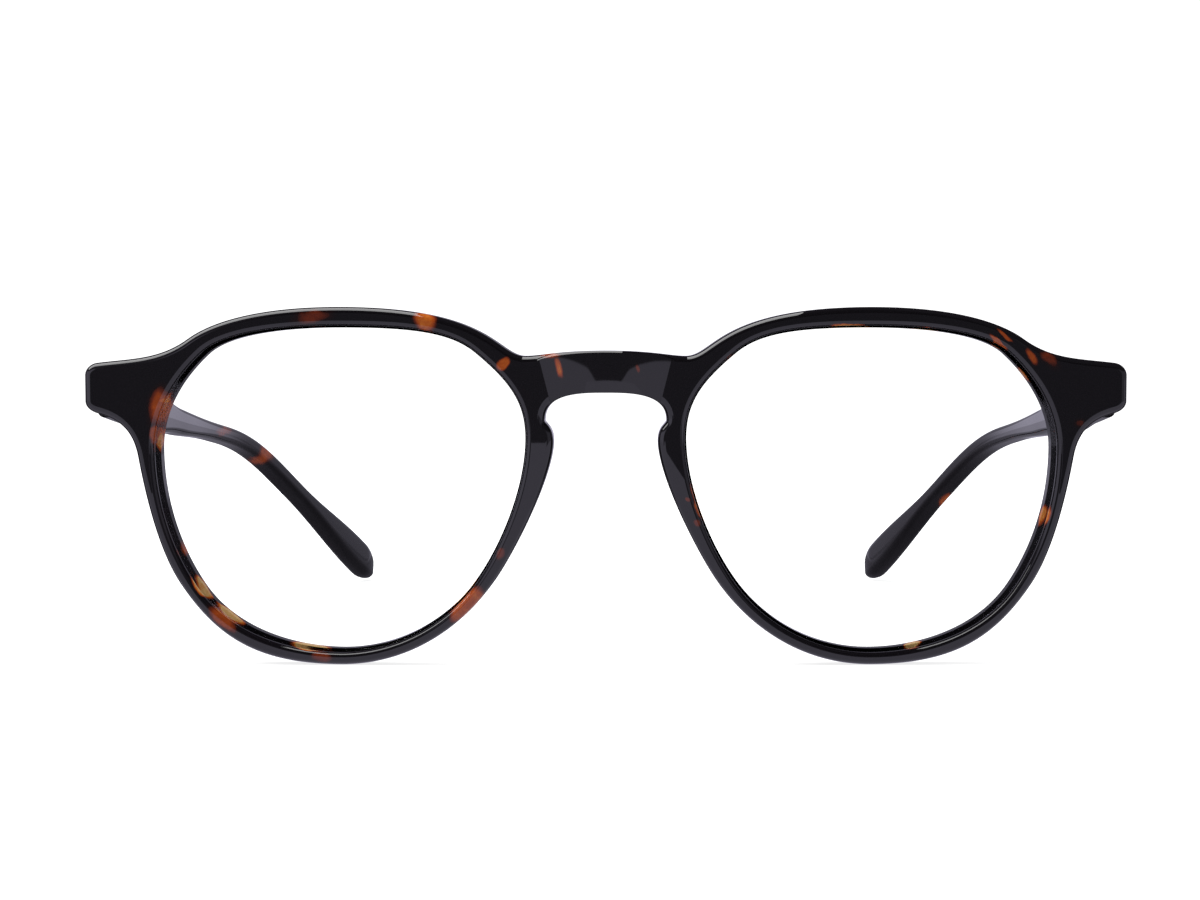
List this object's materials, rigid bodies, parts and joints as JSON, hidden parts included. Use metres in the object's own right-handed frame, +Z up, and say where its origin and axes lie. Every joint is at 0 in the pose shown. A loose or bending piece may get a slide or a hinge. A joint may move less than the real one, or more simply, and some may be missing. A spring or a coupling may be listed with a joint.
{
  "type": "eyeglass frame",
  "caption": "Open acetate eyeglass frame with rounded panto rims, keyhole bridge, glued nose pads, clear lenses and temples that fold on barrel hinges",
  "frame": {"origin": "on the table, under the middle of the open frame, which stands on its rims and its temple tips", "axes": "the front looks along -Y, the temples run back along +Y, +X is the right side of somebody who looks at the front, +Z is up"},
  "size_m": [0.1396, 0.146, 0.0479],
  "materials": {
    "acetate": "polished",
    "pad_acetate": "polished",
    "clear_lens": "polished",
    "nickel_silver": "satin",
    "screw_steel": "polished",
    "core_wire": "satin"
  },
  "bodies": {
    "front": {"front_frame": "acetate", "nose_pad_left": "pad_acetate", "nose_pad_right": "pad_acetate", "lens_left": "clear_lens", "lens_right": "clear_lens", "front_hinge_left": "nickel_silver", "front_hinge_right": "nickel_silver", "hinge_screw_left": "screw_steel", "hinge_screw_right": "screw_steel"},
    "left_temple": {"temple_left": "acetate", "temple_hinge_left": "nickel_silver", "temple_core_left": "core_wire"},
    "right_temple": {"temple_right": "acetate", "temple_hinge_right": "nickel_silver", "temple_core_right": "core_wire"}
  },
  "joints": [
    {"name": "left_hinge", "type": "hinge", "parent": "front", "child": "left_temple", "pos_m": [-0.06344, -0.06405, 0.03717], "axis": [0, -0.0098, -1], "range_deg": [0, 84]},
    {"name": "right_hinge", "type": "hinge", "parent": "front", "child": "right_temple", "pos_m": [0.06344, -0.06405, 0.03717], "axis": [0, 0.0098, 1], "range_deg": [0, 72]}
  ]
}
